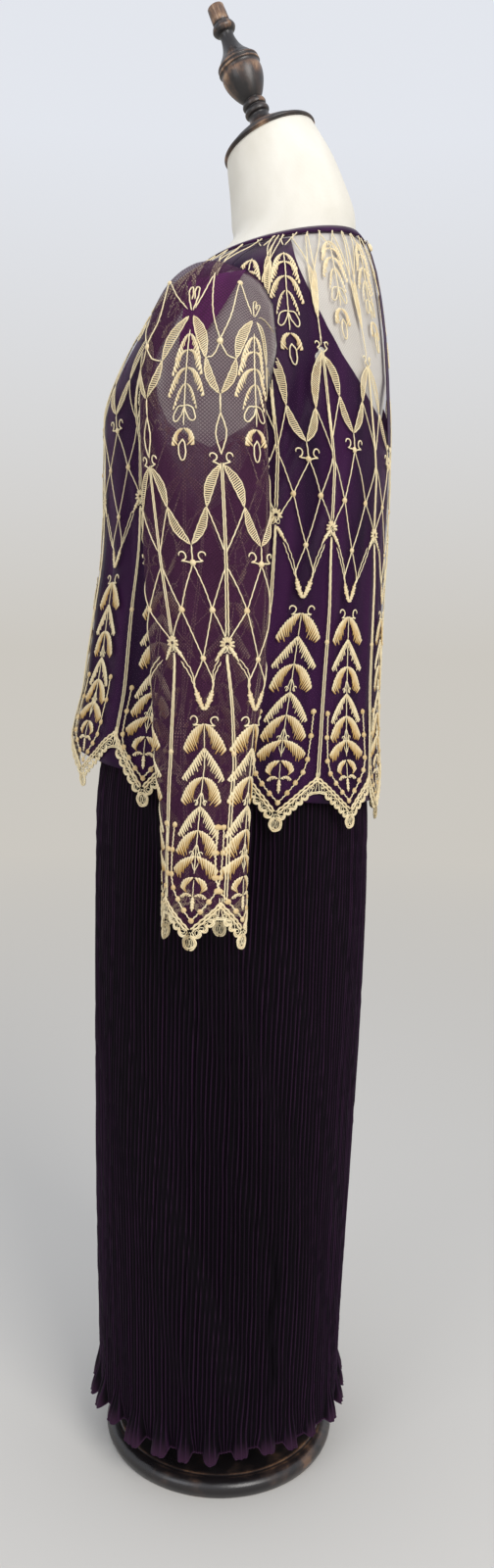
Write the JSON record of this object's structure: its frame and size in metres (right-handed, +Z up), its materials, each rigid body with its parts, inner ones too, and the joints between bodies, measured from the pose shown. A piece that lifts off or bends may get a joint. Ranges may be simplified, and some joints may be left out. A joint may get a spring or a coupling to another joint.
{
  "type": "skirt suit on dress form",
  "caption": "Long-sleeved sheer tunic with pointed lace hem over a sleeveless lining and a full-length pleated skirt, worn on a limbless dress form with a round base",
  "frame": {"origin": "centre of the underside of the round base, on the axis of the pole", "axes": "+Z up, the front of the clothes faces -Y, the wearer's left is +X"},
  "size_m": [0.5174, 0.3796, 1.7789],
  "materials": {
    "wood": "dark stain, worn at the edges",
    "linen": "off-white plain weave stretched over the form",
    "pleated": "dark aubergine, fine permanent pleats",
    "satin": "dark purple satin",
    "tulle": "sheer purple net with cord embroidery",
    "cord": "cream and gold cord"
  },
  "bodies": {
    "root": {"base": "wood", "pole": "wood", "form_torso": "linen", "neck_cap": "wood", "finial": "wood", "skirt_front": "pleated", "skirt_back": "pleated", "skirt_waistband": "pleated", "lining_front": "satin", "lining_back_left": "satin", "lining_back_right": "satin", "shoulder_pad_left": "satin", "shoulder_pad_right": "satin", "tunic_front": "tulle", "tunic_back_left": "tulle", "tunic_back_right": "tulle", "sleeve_left": "tulle", "sleeve_right": "tulle", "hem_lace_front": "cord", "hem_lace_back_left": "cord", "hem_lace_back_right": "cord", "cuff_lace_left_front": "cord", "cuff_lace_left_back": "cord", "cuff_lace_right_front": "cord", "cuff_lace_right_back": "cord", "neck_binding": "satin", "placket_left": "satin", "placket_right": "satin", "nape_button": "cord"}
  },
  "joints": []
}
